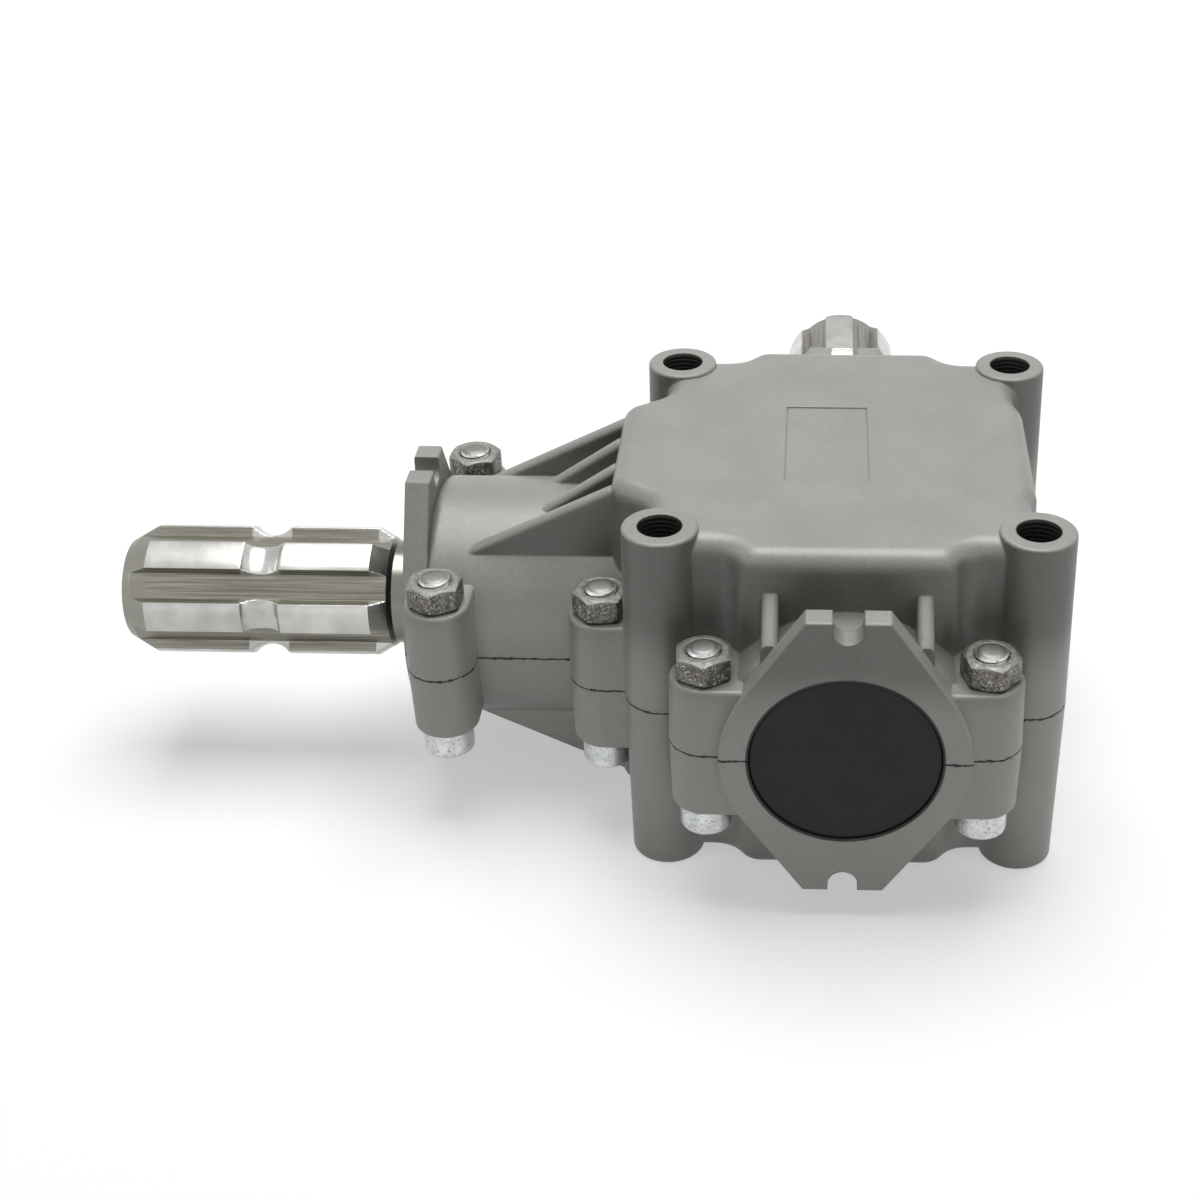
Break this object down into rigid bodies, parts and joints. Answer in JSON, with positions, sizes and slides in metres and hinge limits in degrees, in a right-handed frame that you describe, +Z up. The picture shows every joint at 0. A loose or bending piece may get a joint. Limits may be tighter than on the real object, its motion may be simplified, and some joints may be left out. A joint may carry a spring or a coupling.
{
  "type": "right angle gearbox",
  "caption": "Right angle bevel gearbox in a split cast housing with flanged necks, corner columns for through bolts and splined shaft ends.",
  "frame": {"origin": "the point where the two shaft axes cross, on the split plane, midway between the four corner columns", "axes": "+Z up, square to both shafts; the input shaft leaves towards -X and the output shaft towards +Y"},
  "size_m": [0.2494, 0.2284, 0.0968],
  "materials": {
    "casting": "silver-grey satin paint on a sand casting",
    "shaft_steel": "machined, lightly oiled",
    "gear_steel": "case hardened and ground",
    "bearing_steel": "ground and polished",
    "cage_plastic": "glass filled nylon",
    "nut_steel": "dull phosphate over a forged surface",
    "screw_steel": "bright zinc",
    "small_steel": "phosphated spring steel",
    "seal_rubber": "matt black",
    "washer_aluminium": "soft, plain"
  },
  "bodies": {
    "housing": {"upper_housing": "casting", "lower_housing": "casting", "housing_bolts": "screw_steel", "housing_nuts": "nut_steel", "input_seal": "seal_rubber", "input_seal_spring": "small_steel", "output_seal": "seal_rubber", "output_seal_spring": "small_steel", "front_end_cap": "seal_rubber", "filler_plug": "screw_steel", "filler_washer": "washer_aluminium", "drain_plug": "screw_steel", "drain_washer": "washer_aluminium", "input_outer_outer_ring": "bearing_steel", "input_inner_outer_ring": "bearing_steel", "rear_outer_ring": "bearing_steel", "front_outer_ring": "bearing_steel"},
    "output_line": {"output_shaft": "shaft_steel", "bevel_gear": "gear_steel", "gear_key": "shaft_steel", "rear_spacer": "shaft_steel", "front_spacer": "shaft_steel", "output_circlip": "small_steel", "rear_inner_ring": "bearing_steel", "front_inner_ring": "bearing_steel"},
    "input_line": {"input_shaft": "shaft_steel", "pinion": "gear_steel", "pinion_key": "shaft_steel", "pinion_circlip": "small_steel", "input_spacer": "shaft_steel", "input_outer_inner_ring": "bearing_steel", "input_inner_inner_ring": "bearing_steel"},
    "input_outer_ball_set": {"input_outer_balls": "bearing_steel", "input_outer_cage": "cage_plastic"},
    "input_inner_ball_set": {"input_inner_balls": "bearing_steel", "input_inner_cage": "cage_plastic"},
    "rear_ball_set": {"rear_balls": "bearing_steel", "rear_cage": "cage_plastic"},
    "front_ball_set": {"front_balls": "bearing_steel", "front_cage": "cage_plastic"}
  },
  "joints": [
    {"name": "output_shaft_spin", "type": "hinge", "parent": "housing", "child": "output_line", "pos_m": [0, 0, 0], "axis": [0, 1, 0], "continuous": true},
    {"name": "input_shaft_spin", "type": "hinge", "parent": "housing", "child": "input_line", "pos_m": [0, 0, 0], "axis": [1, 0, 0], "continuous": true},
    {"name": "input_outer_balls_spin", "type": "hinge", "parent": "housing", "child": "input_outer_ball_set", "pos_m": [0, 0, 0], "axis": [1, 0, 0], "continuous": true},
    {"name": "input_inner_balls_spin", "type": "hinge", "parent": "housing", "child": "input_inner_ball_set", "pos_m": [0, 0, 0], "axis": [1, 0, 0], "continuous": true},
    {"name": "rear_balls_spin", "type": "hinge", "parent": "housing", "child": "rear_ball_set", "pos_m": [0, 0, 0], "axis": [0, 1, 0], "continuous": true},
    {"name": "front_balls_spin", "type": "hinge", "parent": "housing", "child": "front_ball_set", "pos_m": [0, 0, 0], "axis": [0, 1, 0], "continuous": true}
  ],
  "couplings": [
    {"joint": "input_shaft_spin", "follows": "output_shaft_spin", "ratio": 1.5},
    {"joint": "input_outer_balls_spin", "follows": "output_shaft_spin", "ratio": 0.5961},
    {"joint": "input_inner_balls_spin", "follows": "output_shaft_spin", "ratio": 0.5961},
    {"joint": "rear_balls_spin", "follows": "output_shaft_spin", "ratio": 0.3974},
    {"joint": "front_balls_spin", "follows": "output_shaft_spin", "ratio": 0.3974}
  ]
}
